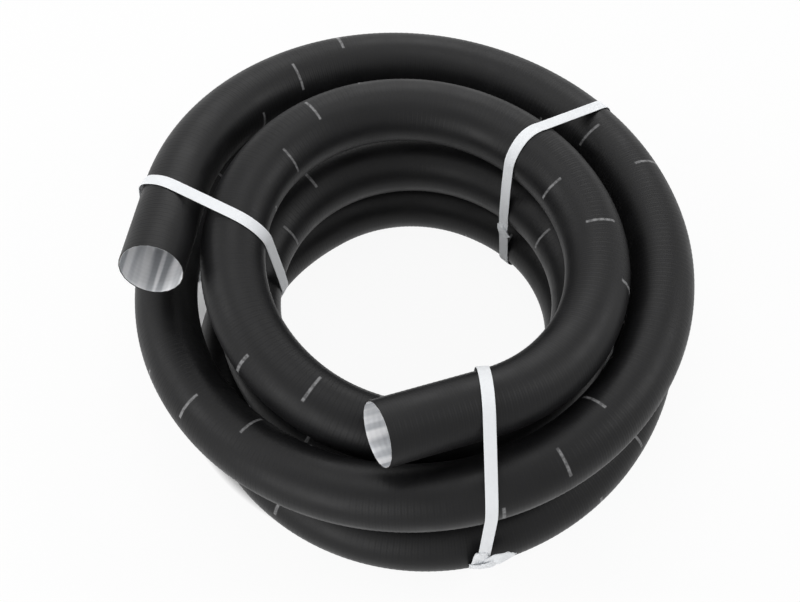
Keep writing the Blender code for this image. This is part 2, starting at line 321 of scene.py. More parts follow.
def at_run(s):
    """Centre, travel direction, upward direction and outward direction of the hose after s metres."""
    centre = np.stack([np.interp(s, RUN, ROUTE[:, k]) for k in range(3)], axis=-1)
    ahead = unit(np.stack([np.interp(s, RUN, TANGENT[:, k]) for k in range(3)], axis=-1))
    above = unit(np.array([0.0, 0.0, 1.0]) - ahead * ahead[..., 2:3])
    return centre, ahead, above, np.cross(ahead, above)


def tube_rows(s, radius, sides=HOSE_SIDES):
    """Rings round the hose: centre + radius * (cos(turn) * above + sin(turn) * outward)."""
    centre, _, above, outward = at_run(s)
    angle = np.arange(sides) * 2.0 * np.pi / sides
    cosine, sine = np.cos(angle)[None, :, None], np.sin(angle)[None, :, None]
    ring = cosine * above[:, None] + sine * outward[:, None]
    return centre[:, None] + ring * np.broadcast_to(radius, s.shape)[:, None, None]


# ---------------------------------------------------------------- meshes from grids


def grid_quads(rows, columns, close_rows=False, close_columns=False):
    """Corner indices of a grid's quads, (rows, columns, 4), each with its row and column step."""
    i = np.arange(rows if close_rows else rows - 1)[:, None]
    j = np.arange(columns if close_columns else columns - 1)[None, :]
    steps = ((0, 0), (0, 1), (1, 1), (1, 0))
    corners = [((i + a) % rows) * columns + (j + b) % columns for a, b in steps]
    return np.stack(np.broadcast_arrays(*corners), axis=-1).reshape(-1, 4)


def grid_uv(here, ahead, first, after):
    """UVs of each quad's corners, (quads, 4, 2), in the order of grid_quads.

    u is here on the quad's first row and ahead on its second, and v is first and after on its columns.
    """
    pairs = ((here, first), (here, after), (ahead, after), (ahead, first))
    corners = [np.stack(np.broadcast_arrays(*pair), axis=-1) for pair in pairs]
    return np.stack(corners, axis=-2).reshape(-1, 4, 2)


def mesh_object(name, points, quads, uv=None, sharp=SHARP_ANGLE):
    """A smooth mesh object from an array of points and one of quads, with per-corner UVs."""
    mesh = bpy.data.meshes.new(name)
    points = np.ascontiguousarray(points.reshape(-1, 3), dtype=np.float32)
    quads = np.ascontiguousarray(quads, dtype=np.int32)
    mesh.vertices.add(len(points))
    mesh.vertices.foreach_set("co", points.ravel())
    mesh.loops.add(quads.size)
    mesh.loops.foreach_set("vertex_index", quads.ravel())
    mesh.polygons.add(len(quads))
    mesh.polygons.foreach_set("loop_start", np.arange(len(quads), dtype=np.int32) * 4)
    mesh.polygons.foreach_set("loop_total", np.full(len(quads), 4, dtype=np.int32))
    if uv is not None:
        layer = mesh.uv_layers.new(name=UV_NAME)
        layer.uv.foreach_set("vector", np.ascontiguousarray(uv, dtype=np.float32).ravel())
    mesh.update(calc_edges=True)
    mesh.validate()
    mesh.shade_smooth()
    mesh.set_sharp_from_angle(angle=math.radians(sharp))
    obj = bpy.data.objects.new(name, mesh)
    bpy.context.scene.collection.objects.link(obj)
    return obj


def tube_wall(name, outer_s, outer_radius, inner_s, inner_radius):
    """A hose ply as one closed grid: the rings of its outside, then those of its inside back again."""
    rows = np.concatenate([tube_rows(outer_s, outer_radius), tube_rows(inner_s, inner_radius)[::-1]])
    run = np.concatenate([outer_s, inner_s[::-1]])
    count, sides = rows.shape[:2]
    quads = grid_quads(count, sides, close_rows=True, close_columns=True)
    side = np.arange(sides)
    uv = grid_uv(run[:, None], np.roll(run, -1)[:, None], side / sides, (side + 1) / sides)
    return mesh_object(name, rows, quads, uv)


def ribbed_stations(pitch, rings):
    """Runs of the rings of a ribbed tube, a whole number of ribs, and the phase of each ring."""
    ribs = round(HOSE_LENGTH / pitch)
    phase = np.arange(ribs * rings + 1) / rings
    return phase / ribs * HOSE_LENGTH, phase


def ply_stations():
    """Runs of a ply's rings: close together near both ends, where they show, and wide apart between."""
    fine = np.arange(0.0, FINE_RUN, FINE_STEP)
    middle = np.arange(FINE_RUN, HOSE_LENGTH - FINE_RUN, PLY_STEP)
    return np.concatenate([fine, middle, HOSE_LENGTH - fine[::-1]])


def ribbon(rows, thickness):
    """Points and quads of a flat tape with thickness, from a grid of its middle surface.

    The two faces are the grid moved half the thickness either way along its normals, which are the
    cross products of the grid's gradients. Each row's loop runs over one face and back on the other.
    """
    normal = unit(np.cross(np.gradient(rows, axis=0), np.gradient(rows, axis=1)))
    back = (rows - normal * thickness / 2)[:, ::-1]
    section = np.concatenate([rows + normal * thickness / 2, back], axis=1)
    count, width = section.shape[:2]
    quads = grid_quads(count, width, close_columns=True)[:, ::-1]
    k = np.arange(width // 2 - 1)
    cap = np.stack([k, k + 1, width - 2 - k, width - 1 - k], axis=-1)
    return section, np.concatenate([quads, cap, (cap + (count - 1) * width)[:, ::-1]])


# ---------------------------------------------------------------- straps


def strap_axes(heading):
    """Unit vectors along a strap's line on the floor and across its tape."""
    cosine, sine = math.cos(math.radians(heading)), math.sin(math.radians(heading))
    return np.array([cosine, sine, 0.0]), np.array([-sine, cosine, 0.0])


def strap_lines(plan, width, gap):
    """Support lines of the taut outline round every turn that a strap binds.

    The hose is a row of balls of its own radius, each cut by the tape's width. In each direction the
    outermost ball sets a line at distance max(along * cosine + height * sine + reach). The lower half
    hangs down to the floor by what little slack is needed.
    """
    ahead, sideways = strap_axes(plan["heading"])
    places, _, _, _ = at_run(np.arange(0.0, HOSE_LENGTH, STRAP_SAMPLE))
    offset = places - COIL_SHIFT - np.array([*plan["base"], 0.0])
    along, height, lean = offset @ ahead, offset[:, 2], plan["lean"]
    aside = offset @ sideways - lean * (height - LEAN_HEIGHT)
    outside = np.clip(np.abs(aside) - width / 2.0, 0.0, None)
    near = (outside < CREST_RADIUS * BALL_SHARE) & (np.abs(along) < STRAP_REACH)
    slope = 1.0 + lean * lean
    height = (height + np.sign(aside) * outside * lean / slope)[near]
    along, reach = along[near], np.sqrt(CREST_RADIUS**2 - outside[near] ** 2 / slope)
    angle = 2.0 * np.pi * np.arange(STRAP_DIRECTIONS) / STRAP_DIRECTIONS - np.pi / 2.0
    c, s = np.cos(angle)[:, None], np.sin(angle)[:, None]
    distance = (along * c + height * s + reach * np.sqrt(c * c + s * s / slope)).max(axis=1) + gap
    slack = max(0.0, -distance[0] - TAPE_FLOOR)
    return c[:, 0], s[:, 0], distance + slack * np.clip(-s[:, 0], 0.0, None)


def outline_corners(lines, extra):
    """Where each support line, moved outwards by extra, meets the next: (lines, extras, 2)."""
    c, s, h = lines
    c2, s2, h2 = np.roll(c, -1), np.roll(s, -1), np.roll(h, -1)
    extra = np.atleast_1d(extra)[None, :]
    h, h2 = h[:, None] + extra, h2[:, None] + extra
    det = (c * s2 - s * c2)[:, None]
    along = (h * s2[:, None] - h2 * s[:, None]) / det
    height = (h2 * c[:, None] - h * c2[:, None]) / det
    return np.stack([along, height], axis=-1)


def strap_point(plan, along, height, across):
    """A place on a strap in the model's frame.

    The tape leans sideways with its height. On its inner side it also drifts: one way near the top of
    the coil and the other way near the floor.
    """
    ahead, sideways = strap_axes(plan["heading"])
    inner = eased((DRIFT_FROM - along) / DRIFT_RUN)
    drift = plan["drift"] * inner * np.clip((height - DRIFT_HEIGHT) / DRIFT_REACH, -1.0, 1.0)
    aside = across + plan["lean"] * (height - LEAN_HEIGHT) + drift
    base = np.array([*plan["base"], 0.0]) + COIL_SHIFT
    flat = base + along[..., None] * ahead + aside[..., None] * sideways
    return flat + height[..., None] * np.array([0.0, 0.0, 1.0])


def tape_section(width, thickness, points=20):
    """Across and outward places round a tape's section, a superellipse that is almost a rectangle."""
    angle = 2.0 * np.pi * np.arange(points) / points
    across = width / 2.0 * np.sign(np.cos(angle)) * np.abs(np.cos(angle)) ** TAPE_SIDE_POWER
    out = thickness / 2.0 * (1.0 + np.sign(np.sin(angle)) * np.abs(np.sin(angle)) ** TAPE_FACE_POWER)
    return across, out


# Each strap's plan: a place on the floor under it and the heading of its line there, its sideways lean
# a metre of height and its drift in metres, then the side (1 outer, -1 inner) and height where its knot
# sits, and the radius of the curve that the knot is laid round.
STRAP_PLANS = (
    {"name": "left", "base": (-0.1974, 0.0520), "heading": 152.1, "lean": 0.093, "drift": 0.0,
     "side": 1.0, "height": 0.040, "bend": 0.08},
    {"name": "back_right", "base": (0.1390, 0.1492), "heading": 46.7, "lean": 0.0, "drift": 0.007,
     "side": -1.0, "height": 0.085, "bend": 0.08},
    {"name": "front", "base": (0.0658, -0.2215), "heading": -85.3, "lean": 0.033, "drift": 0.0,
     "side": 1.0, "height": 0.0495, "bend": 0.2},
)


# Runs of tape in each knot: the corners of its path (down, across, out, width factor, roll), in metres
# and radians, and the height of its pucker.
KNOT_RUNS = {
    "front": (
        (((-0.021, 0.003, 0.0016, 0.9, 0.0), (-0.012, 0.003, 0.0022, 1.2, 0.0),
          (-0.001, 0.003, 0.0026, 1.5, 0.1), (0.011, 0.003, 0.0020, 1.8, 0.0),
          (0.022, 0.003, 0.0014, 1.7, 0.0)), 0.0007),
        (((0.006, -0.002, 0.0020, 0.9, 0.0), (-0.005, -0.008, 0.0042, 1.3, 0.1),
          (-0.014, -0.017, 0.0050, 1.5, 0.0), (-0.023, -0.026, 0.0046, 1.2, -0.2)), 0.0009),
        (((0.006, 0.013, 0.0030, 0.7, 0.0), (0.003, 0.004, 0.0064, 0.9, 0.0),
          (-0.002, -0.006, 0.0066, 0.9, 0.0), (-0.006, -0.014, 0.0030, 0.7, 0.0)), 0.0004),
    ),
    "left": (
        (((-0.004, 0.002, 0.0006, 0.9, 0.0), (0.004, 0.000, 0.0022, 1.1, 0.0),
          (0.014, -0.004, 0.0018, 1.1, 0.1), (0.022, -0.008, 0.0018, 1.0, 0.0)), 0.0005),
        (((0.010, -0.008, 0.0020, 0.8, 0.0), (0.004, -0.001, 0.0044, 1.1, 0.1),
          (-0.002, 0.007, 0.0034, 1.0, 0.0), (-0.009, 0.014, 0.0036, 0.8, -0.2)), 0.0006),
    ),
    "back_right": (
        (((-0.010, 0.000, 0.0004, 0.9, 0.0), (-0.002, 0.000, 0.0016, 1.0, 0.0),
          (0.008, -0.001, 0.0016, 1.0, 0.0), (0.014, -0.001, 0.0010, 0.9, 0.0)), 0.0004),
        (((-0.006, 0.004, 0.0016, 0.6, 0.0), (-0.002, 0.001, 0.0034, 0.8, 0.0),
          (0.002, -0.004, 0.0030, 0.8, 0.0), (0.006, -0.009, 0.0018, 0.6, 0.0)), 0.0004),
    ),
}


def knot_frame(plan, lines, thickness):
    """Origin and axes of a knot on the strap's outer face: down along the tape, across it, and out."""
    corners = outline_corners(lines, thickness)[:, 0]
    u1, z1 = corners[:, 0], corners[:, 1]
    u2, z2 = np.roll(u1, -1), np.roll(z1, -1)
    crosses = ((z1 - plan["height"]) * (z2 - plan["height"]) <= 0.0) & (z1 != z2)
    share = np.where(crosses, (plan["height"] - z1) / np.where(z1 != z2, z2 - z1, 1.0), 0.0)
    u = np.where(crosses, u1 + (u2 - u1) * share, -np.inf * plan["side"])
    k = int(np.argmax(u * plan["side"]))
    ahead, _ = strap_axes(plan["heading"])
    tangent = ahead * (u2[k] - u1[k]) + np.array([0.0, 0.0, z2[k] - z1[k]])
    tangent = unit(tangent * -np.sign(tangent[2]))
    out = ahead * plan["side"]
    out = unit(out - tangent * (tangent @ out))
    origin = strap_point(plan, np.array(u[k]), np.array(plan["height"]), np.array(0.0))
    return origin, tangent, np.cross(tangent, out), out


def on_hose(knot, places, bend):
    """Knot places (down, across, out) laid round a cylinder of this radius on the strap's outer face."""
    origin, tangent, across, out = knot
    turn = places[..., 0] / bend
    lift = bend + places[..., 2]
    return (
        origin
        + (lift * np.sin(turn))[..., None] * tangent
        + (lift * np.cos(turn) - bend)[..., None] * out
        + places[..., 1][..., None] * across
    )


def tape_run(path, width, crumple=0.0, seed=0, columns=9, rows=28):
    """Middle surface of a short length of tape in knot places.

    The path's (down, across, out, width factor, roll) corners are joined by smooth steps. Each point is
    widened square to the path and rolled about it. The pucker is a product of two sine waves, a swell,
    with a third wave of creases added.
    """
    path = np.asarray(path, dtype=float)
    t = np.linspace(0.0, len(path) - 1.0, rows)
    knots = np.arange(len(path))
    smooth = np.stack([np.interp(t, knots, path[:, k]) for k in range(path.shape[1])], axis=-1)
    for _ in range(SMOOTHING_PASSES):
        smooth[1:-1] = (smooth[:-2] + 2.0 * smooth[1:-1] + smooth[2:]) / 4.0
    centre = smooth[:, :3]
    ahead = unit(np.gradient(centre, axis=0))
    up = np.array([0.0, 0.0, 1.0])
    side = unit(np.cross(up, ahead))
    top = np.cross(ahead, side)
    roll = smooth[:, 4:5]
    wide = side * np.cos(roll) + top * np.sin(roll)
    v, t = np.linspace(-1.0, 1.0, columns)[None, :], t[:, None]
    places = centre[:, None] + wide[:, None] * (v[..., None] * width / 2.0 * smooth[:, 3][:, None, None])
    swell = np.sin(PUCKER_ACROSS * v + PUCKER_ALONG * t + seed) * np.sin(SWELL_ALONG * t + SWELL_SEED * seed)
    creases = np.sin(CREASE_ACROSS * v - CREASE_ALONG * t + CREASE_SEED * seed)
    places[..., 2] += crumple * (swell + CREASE_SHARE * creases)
    return places


# ---------------------------------------------------------------- materials


def node(tree, kind, inputs=None, **settings):
    """Add a node with its settings. Each input is a plain value, or a socket to link from."""
    made = tree.nodes.new("ShaderNode" + kind)
    for key, value in settings.items():
        setattr(made, key, value)
    for key, value in (inputs or {}).items():
        if isinstance(value, bpy.types.NodeSocket):
            tree.links.new(value, made.inputs[key])
        else:
            made.inputs[key].default_value = value
    return made


def new_material(name, roughness, metallic=0.0):
    """A material with its shader, ready for the nodes that feed it."""
    material = bpy.data.materials.new(name)
    material.use_nodes = True
    shader = material.node_tree.nodes["Principled BSDF"]
    shader.inputs["Roughness"].default_value = roughness
    shader.inputs["Metallic"].default_value = metallic
    return material, material.node_tree, shader


def math_node(tree, operation, *values):
    """Result of a Math node on these values or sockets."""
    return node(tree, "Math", dict(enumerate(values)), operation=operation).outputs[0]


def map_range(tree, value, start, stop, low=0.0, high=1.0, kind="LINEAR"):
    """The value with the range from start to stop carried over to low to high, and held beyond it."""
    limits = {0: value, 1: start, 2: stop, 3: low, 4: high}
    return node(tree, "MapRange", limits, interpolation_type=kind).outputs[0]


def noise(tree, place, scale, detail, roughness=0.5):
    """Noise from 0 to 1 at a place."""
    settings = {"Vector": place, "Scale": scale, "Detail": detail, "Roughness": roughness}
    return node(tree, "TexNoise", settings).outputs[0]


def mixed_colour(tree, share, first, second):
    """Colour that is this share of the way from the first to the second, each a colour or a socket."""
    ends = [end if isinstance(end, bpy.types.NodeSocket) else (*end, 1.0) for end in (first, second)]
    return node(tree, "Mix", {0: share, 6: ends[0], 7: ends[1]}, data_type="RGBA").outputs[2]


def add_relief(tree, shader, height, strength, distance):
    """Bump the shader's surface with a height whose 1 stands for this distance in metres."""
    bump = node(tree, "Bump", {"Height": height, "Strength": strength, "Distance": distance})
    tree.links.new(bump.outputs[0], shader.inputs["Normal"])


def bar_mask(tree, run, turn, sizes):
    """1 on the printed bars and 0 off them.

    The distance from the nearest bar's middle is found along the hose and round it. Along it, this is
    the run less the last bar's run and less the stray, wrapped to one pitch. Round it, this is the turn
    less that bar's own turn, wrapped to one turn.
    """
    squeeze = map_range(tree, run, *BAR_SQUEEZE, BAR_STRAY, -BAR_STRAY, "SMOOTHSTEP")
    settle = map_range(tree, run, *BAR_SETTLE, 0.0, BAR_STRAY, "SMOOTHSTEP")
    stray = math_node(tree, "ADD", squeeze, settle)
    past = math_node(tree, "SUBTRACT", math_node(tree, "SUBTRACT", run, LAST_BAR_S), stray)
    half = BAR_PITCH / 2.0
    off_run = math_node(tree, "WRAP", past, half, -half)
    whole = math_node(tree, "SUBTRACT", past, off_run)
    bar_turn = math_node(tree, "MULTIPLY_ADD", whole, -BAR_TURN / BAR_PITCH, LAST_BAR_TURN)
    off_turn = math_node(tree, "WRAP", math_node(tree, "SUBTRACT", turn, bar_turn), 0.5, -0.5)
    masks = []
    for offset, half_size, blur in (
        (off_run, sizes.bar_width / 2.0, BAR_SIDE_BLUR),
        (off_turn, sizes.bar_length / 2.0 / (2.0 * math.pi * CREST_RADIUS), BAR_END_BLUR),
    ):
        size = math_node(tree, "ABSOLUTE", offset)
        masks.append(map_range(tree, size, half_size - blur, half_size + blur, 1.0, 0.0, "SMOOTHSTEP"))
    middle = (BARE_INNER_RUN + HOSE_LENGTH - BARE_OUTER_RUN) / 2.0
    reach = HOSE_LENGTH - BARE_OUTER_RUN - middle
    printed = math_node(tree, "COMPARE", run, middle, reach)
    return math_node(tree, "MULTIPLY", math_node(tree, "MULTIPLY", *masks), printed)


def jacket_material(looks, sizes):
    """Calendered soft PVC over crimped plies: satin black, fine cross crimps, grey printed bars."""
    material, tree, shader = new_material("soft_pvc_calendered", JACKET_ROUGHNESS)
    shader.inputs["Specular IOR Level"].default_value = JACKET_SPECULAR
    place = node(tree, "UVMap", uv_map=UV_NAME)
    parts = node(tree, "SeparateXYZ", {0: place.outputs[0]})
    run, turn = parts.outputs[0], parts.outputs[1]
    where = node(tree, "TexCoord").outputs["Object"]

    # Worn, thin ink: the bars are broken up by grain about 4 mm across.
    grain = noise(tree, where, INK_GRAIN_SCALE, detail=3.0)
    ink = map_range(tree, grain, *INK_GRAIN_LIMITS, *INK_COVER)
    bar = math_node(tree, "MULTIPLY", bar_mask(tree, run, turn, sizes), ink)

    # Handling marks, about 40 mm across and finer, change the black and the gloss a little.
    cloud = noise(tree, where, HANDLING_SCALE, detail=4.0, roughness=0.6)
    black = mixed_colour(tree, cloud, looks.jacket, looks.jacket_dust)
    tree.links.new(mixed_colour(tree, bar, black, looks.bar), shader.inputs["Base Color"])
    gloss = map_range(tree, cloud, *HANDLING_LIMITS, *JACKET_GLOSS)
    tree.links.new(gloss, shader.inputs["Roughness"])

    # Crimps finer than the ribs, and the film's own fine grain.
    crimp_phase = math_node(tree, "MULTIPLY", run, 2.0 * math.pi / sizes.crimp_pitch)
    patch = map_range(tree, cloud, *CRIMP_PATCH_LIMITS, *CRIMP_STRENGTH)
    crimp = math_node(tree, "MULTIPLY", math_node(tree, "SINE", crimp_phase), patch)
    skin = noise(tree, where, FILM_GRAIN_SCALE, detail=3.0)
    relief = math_node(tree, "MULTIPLY_ADD", skin, FILM_GRAIN_SHARE, crimp)
    add_relief(tree, shader, relief, strength=0.4, distance=0.0001)
    return material


def foil_material(looks):
    """Rolled aluminium foil, crimped.

    It is bright, and its highlights are drawn out along the bore. Streaks about 20 mm apart round it are
    painted
    shade: the foil's colour is darker there, standing in for the streaky light of the crinkled bore, and it
    is rougher there too.
    """
    material, tree, shader = new_material("aluminium_foil_crimped", FOIL_ROUGHNESS, 1.0)
    shader.inputs["Anisotropic"].default_value = FOIL_STRETCH
    along_bore = node(tree, "Tangent", direction_type="UV_MAP", uv_map=UV_NAME)
    tree.links.new(along_bore.outputs[0], shader.inputs["Tangent"])
    place = node(tree, "UVMap", uv_map=UV_NAME)
    parts = node(tree, "SeparateXYZ", {0: place.outputs[0]})
    along = math_node(tree, "MULTIPLY", parts.outputs[0], STREAKS_ALONG)
    half = math_node(tree, "PINGPONG", parts.outputs[1], 0.5)
    about = math_node(tree, "MULTIPLY", half, STREAKS_ROUND)
    streak_place = node(tree, "CombineXYZ", {0: along, 1: about}).outputs[0]
    # Painted shade: streaks where the foil's colour is darker, standing in for the streaky light of the
    # crinkled bore. The same streaks make the foil rougher.
    painted_streak_shade_and_gloss = map_range(tree, noise(tree, streak_place, scale=1.0, detail=2.0), *STREAK_LIMITS)
    tone = mixed_colour(tree, painted_streak_shade_and_gloss, looks.foil, looks.foil_painted_streak_shade)
    tree.links.new(tone, shader.inputs["Base Color"])
    tree.links.new(map_range(tree, painted_streak_shade_and_gloss, 0.0, 1.0, *FOIL_GLOSS), shader.inputs["Roughness"])
    return material


def paper_material(looks):
    """Kraft paper, seen on its cut edge: brown, matt and fibrous."""
    material, tree, shader = new_material("kraft_paper_cut", PAPER_ROUGHNESS)
    where = node(tree, "TexCoord").outputs["Object"]
    fibre = noise(tree, where, PAPER_FIBRE_SCALE, detail=5.0)
    tone = mixed_colour(tree, fibre, looks.paper, looks.paper_dark)
    tree.links.new(tone, shader.inputs["Base Color"])
    add_relief(tree, shader, fibre, strength=0.4, distance=0.0002)
    return material


def tape_material(looks, sizes):
    """Woven polyester tape: white, softly shiny yarns that cross at each yarn pitch, with painted shade in
    the hollows between them.
    """
    material, tree, shader = new_material("polyester_tape_woven", TAPE_ROUGHNESS)
    place = node(tree, "UVMap", uv_map=UV_NAME)
    scale = 1.0 / sizes.yarn_pitch
    yarns = node(tree, "Mapping", {"Vector": place.outputs[0], "Scale": (scale, scale, 1.0)}).outputs[0]
    weave = node(tree, "TexChecker", {"Vector": yarns, "Scale": 1.0}).outputs["Fac"]
    cross = node(tree, "SeparateXYZ", {0: yarns})
    crowns = []
    for axis in (0, 1):
        phase = math_node(tree, "MULTIPLY", cross.outputs[axis], math.pi)
        crowns.append(math_node(tree, "ABSOLUTE", math_node(tree, "SINE", phase)))
    height = node(tree, "Mix", {0: weave, 2: crowns[0], 3: crowns[1]}).outputs[0]
    # Painted shade: the tape's colour is darker where the weave is low, between the yarns.
    tone = mixed_colour(tree, height, looks.tape_painted_hollow_shade, looks.tape)
    tree.links.new(tone, shader.inputs["Base Color"])
    add_relief(tree, shader, height, strength=0.5, distance=0.0002)
    shader.inputs["Sheen Weight"].default_value = TAPE_SHEEN
    return material


def seen_directly(tree):
    """1 for rays from the camera and for those that a gloss or a clear surface passes on, 0 for others."""
    rays = node(tree, "LightPath")
    seen = math_node(tree, "MAXIMUM", rays.outputs["Is Camera Ray"], rays.outputs["Is Glossy Ray"])
    return math_node(tree, "MAXIMUM", seen, rays.outputs["Is Transmission Ray"])


def floor_material():
    """Matt white paper sweep, one colour all over.

    What the camera or a reflection sees is mostly plain white, and the rest is lit, so the shadow stays.
    Under the columns of turns all of it is lit, so the gaps between them show the coil's own shadow.
    """
    material, tree, shader = new_material("paper_sweep_matt", PAPER_ROUGHNESS)
    shader.inputs["Base Color"].default_value = (*linear(FLOOR_COLOUR), 1.0)
    where = node(tree, "TexCoord").outputs["Object"]
    inner_middle = (*COIL_SHIFT[:2], 0.0)
    outer_middle = (inner_middle[0] + OUTER_SHIFT_X, inner_middle[1] + OUTER_SHIFT_Y, 0.0)
    masks = []
    for middle, limits, shares in (
        (inner_middle, RING_INSIDE, (1.0, 0.0)),
        (outer_middle, RING_OUTSIDE, (0.0, 1.0)),
    ):
        away = node(tree, "VectorMath", {0: where, 1: middle}, operation="DISTANCE").outputs["Value"]
        masks.append(map_range(tree, away, *limits, *shares))
    open_floor = math_node(tree, "MAXIMUM", *masks)
    shine = math_node(tree, "MULTIPLY", seen_directly(tree), FLOOR_WHITE_SHARE)
    share = math_node(tree, "MULTIPLY", shine, open_floor)
    white = node(tree, "Emission", {"Color": (1.0, 1.0, 1.0, 1.0), "Strength": 1.0}).outputs[0]
    mixed = node(tree, "MixShader", {0: share, 1: shader.outputs[0], 2: white}).outputs[0]
    tree.links.new(mixed, tree.nodes["Material Output"].inputs["Surface"])
    return material


def wear(obj, material):
    """Give an object this material and no other."""
    obj.data.materials.clear()
    obj.data.materials.append(material)


# ---------------------------------------------------------------- lamps


def softbox(name, place, target, size, watts):
    """A rectangular soft light at a place, its -Z turned to face the target."""
    lamp = bpy.data.lights.new(name, "AREA")
    lamp.shape = "RECTANGLE"
    lamp.size, lamp.size_y = size
    lamp.energy = watts
    obj = bpy.data.objects.new(name, lamp)
    obj.location = place
    obj.rotation_euler = (Vector(target) - obj.location).to_track_quat("-Z", "Y").to_euler()
    bpy.context.scene.collection.objects.link(obj)


# ---------------------------------------------------------------- properties


class DuctSizes(bpy.types.PropertyGroup):
    """Sizes of the hose's ribs, print and straps."""

    rib_pitch: bpy.props.FloatProperty(
        name="Rib pitch", description="Distance from one rib's crest to the next",
        default=0.0054, min=0.003, max=0.02, unit="LENGTH")
    rib_depth: bpy.props.FloatProperty(
        name="Rib depth", description="Height of a crest over the roots beside it",
        default=0.00018, min=0.0, max=0.003, unit="LENGTH")
    crimp_pitch: bpy.props.FloatProperty(
        name="Crimp pitch", description="Spacing of the fine crimps drawn on the film",
        default=0.0027, min=0.001, max=0.01, unit="LENGTH")
    jacket_wall: bpy.props.FloatProperty(
        name="Jacket wall", description="Thickness of the plastic ply",
        default=0.0006, min=0.0002, max=0.002, unit="LENGTH")
    bar_length: bpy.props.FloatProperty(
        name="Bar length", description="Length of a printed bar round the hose",
        default=0.031, min=0.005, max=0.08, unit="LENGTH")
    bar_width: bpy.props.FloatProperty(
        name="Bar width", description="Width of a printed bar along the hose",
        default=0.0028, min=0.0005, max=0.01, unit="LENGTH")
    tape_width: bpy.props.FloatProperty(
        name="Tape width", description="Width of the strap tape",
        default=0.012, min=0.005, max=0.03, unit="LENGTH")
    tape_thickness: bpy.props.FloatProperty(
        name="Tape thickness", description="Thickness of the strap tape",
        default=0.0009, min=0.0003, max=0.003, unit="LENGTH")
    yarn_pitch: bpy.props.FloatProperty(
        name="Yarn pitch", description="Spacing of the yarns in the tape",
        default=0.0012, min=0.0004, max=0.004, unit="LENGTH")


def colour_property(name, description, code):
    """A colour setting whose default is this sRGB hex colour."""
    return bpy.props.FloatVectorProperty(
        name=name, description=description, default=linear(code),
        subtype="COLOR", size=3, min=0.0, max=1.0)


class DuctLooks(bpy.types.PropertyGroup):
    """Colours of the hose's plies, its print and the straps."""

    jacket: colour_property("Jacket", "Black of the plastic ply", "#0c0c0d")
    jacket_dust: colour_property("Jacket, handled", "The same black where it has been handled", "#151516")
    bar: colour_property("Printed bar", "Grey of the printed bars", "#868687")
    foil: colour_property("Foil", "Bright foil", "#fcfcfd")
    # The darker foil colour is painted shade, used in streaks round the bore.
    foil_painted_streak_shade: colour_property("Foil, dull", "Foil where it is dull", "#d6d8db")
    paper: colour_property("Paper", "Kraft paper", "#8d7b62")
    paper_dark: colour_property("Paper fibre", "Darker fibres of the kraft paper", "#6b5b45")
    tape: colour_property("Tape", "White of the strap tape", "#f6f8fa")
    # This darker tape colour is painted shade in the hollows between the yarns.
    tape_painted_hollow_shade: colour_property("Tape, between yarns", "The tape's colour between its yarns", "#eceff3")


# ---------------------------------------------------------------- operators


class DuctOperator:
    """What every operator of this file shares."""

    bl_options = {"REGISTER", "UNDO"}

    def execute(self, context):
        self.build(context.scene.duct_sizes, context.scene.duct_looks)
        return {"FINISHED"}


class DUCT_OT_jacket(DuctOperator, bpy.types.Operator):
    """Build the black outer ply of the hose from end to end"""

    bl_idname = "duct.jacket"
    bl_label = "Jacket"

    def build(self, sizes, looks):
        """Ring radius: crest radius less half the rib depth times 1 - cos(2 pi phase)."""
        s, phase = ribbed_stations(sizes.rib_pitch, RINGS_PER_RIB)
        radius = CREST_RADIUS - sizes.rib_depth * 0.5 * (1.0 - np.cos(2.0 * np.pi * phase))
        inside = ply_stations()
        jacket = tube_wall("jacket", s, radius, inside, np.array(CREST_RADIUS - sizes.jacket_wall))
        wear(jacket, jacket_material(looks, sizes))
        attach(jacket, "root")
        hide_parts("duct_jacket")


class DUCT_OT_plies(DuctOperator, bpy.types.Operator):
    """Build the paper ply and the foil ply inside the jacket"""

    bl_idname = "duct.plies"
    bl_label = "Paper and foil plies"

    def build(self, sizes, looks):
        """Nested tubes. The foil's bore has ribs near the ends, where it can be seen: its radius there is
        less by the rib depth times half of 1 - cos(2 pi phase)."""
        stations = ply_stations()
        skin = CREST_RADIUS - sizes.jacket_wall
        sunk = np.clip(stations, PAPER_SETBACK, HOSE_LENGTH - PAPER_SETBACK)
        paper = tube_wall(
            "paper_ply", sunk, np.array(skin - PAPER_OUTSIDE), sunk, np.array(skin - PAPER_INSIDE))
        wear(paper, paper_material(looks))
        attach(paper, "root")
        s, phase = ribbed_stations(sizes.rib_pitch, RINGS_PER_BORE_RIB)
        near = (s < FINE_RUN - BORE_RIB_MARGIN) | (s > HOSE_LENGTH - FINE_RUN + BORE_RIB_MARGIN)
        middle = stations[(stations > FINE_RUN) & (stations < HOSE_LENGTH - FINE_RUN)]
        bore_s = np.concatenate([s[near], middle])
        order = np.argsort(bore_s)
        ribs = np.concatenate([0.5 * (1.0 - np.cos(2.0 * np.pi * phase[near])), np.zeros(len(middle))])
        bore = skin - FOIL_INSIDE - BORE_RIB_DEPTH * ribs
        foil = tube_wall(
            "foil_liner", stations, np.array(skin - FOIL_OUTSIDE), bore_s[order], bore[order])
        wear(foil, foil_material(looks))
        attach(foil, "root")
        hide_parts("duct_liner")


